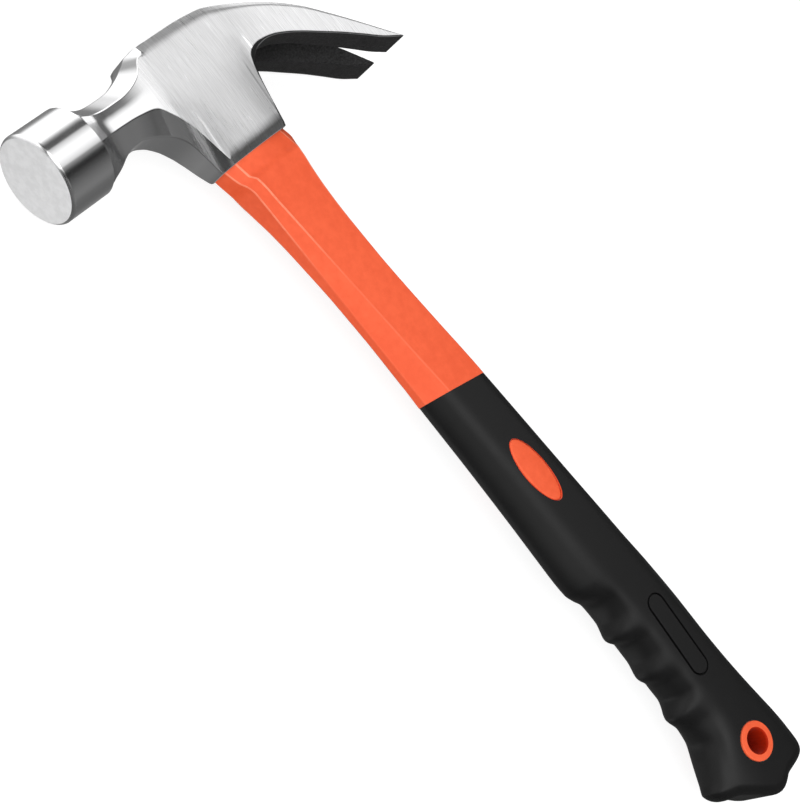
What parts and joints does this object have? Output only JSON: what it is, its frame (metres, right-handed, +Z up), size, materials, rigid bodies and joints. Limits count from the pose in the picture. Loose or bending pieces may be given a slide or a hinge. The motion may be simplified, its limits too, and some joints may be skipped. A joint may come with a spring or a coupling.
{
  "type": "claw hammer",
  "caption": "Claw hammer with a polished steel head, curved split claw, facetted orange handle and a black soft grip with finger grooves, a flared butt and a hang hole.",
  "frame": {"origin": "middle of the base of the part's box, with the hammer lying on its side", "axes": "+X along the handle towards the butt, +Y along the head towards the claw, +Z up across the thickness; the striking face looks along -Y"},
  "size_m": [0.339, 0.1452, 0.0348],
  "materials": {
    "head_steel": "ground cheeks and claws, polished poll and neck, black paint under the claws",
    "core_fibreglass": "pultruded fibreglass, hidden",
    "jacket_plastic": "fine-grained moulded polypropylene",
    "grip_rubber": "satin moulded soft grip",
    "eye_resin": "cast resin, slightly glossy"
  },
  "bodies": {
    "root": {"hammer_head": "head_steel", "fibreglass_core": "core_fibreglass", "handle_jacket": "jacket_plastic", "grip_sleeve": "grip_rubber", "eye_epoxy": "eye_resin"}
  },
  "joints": []
}
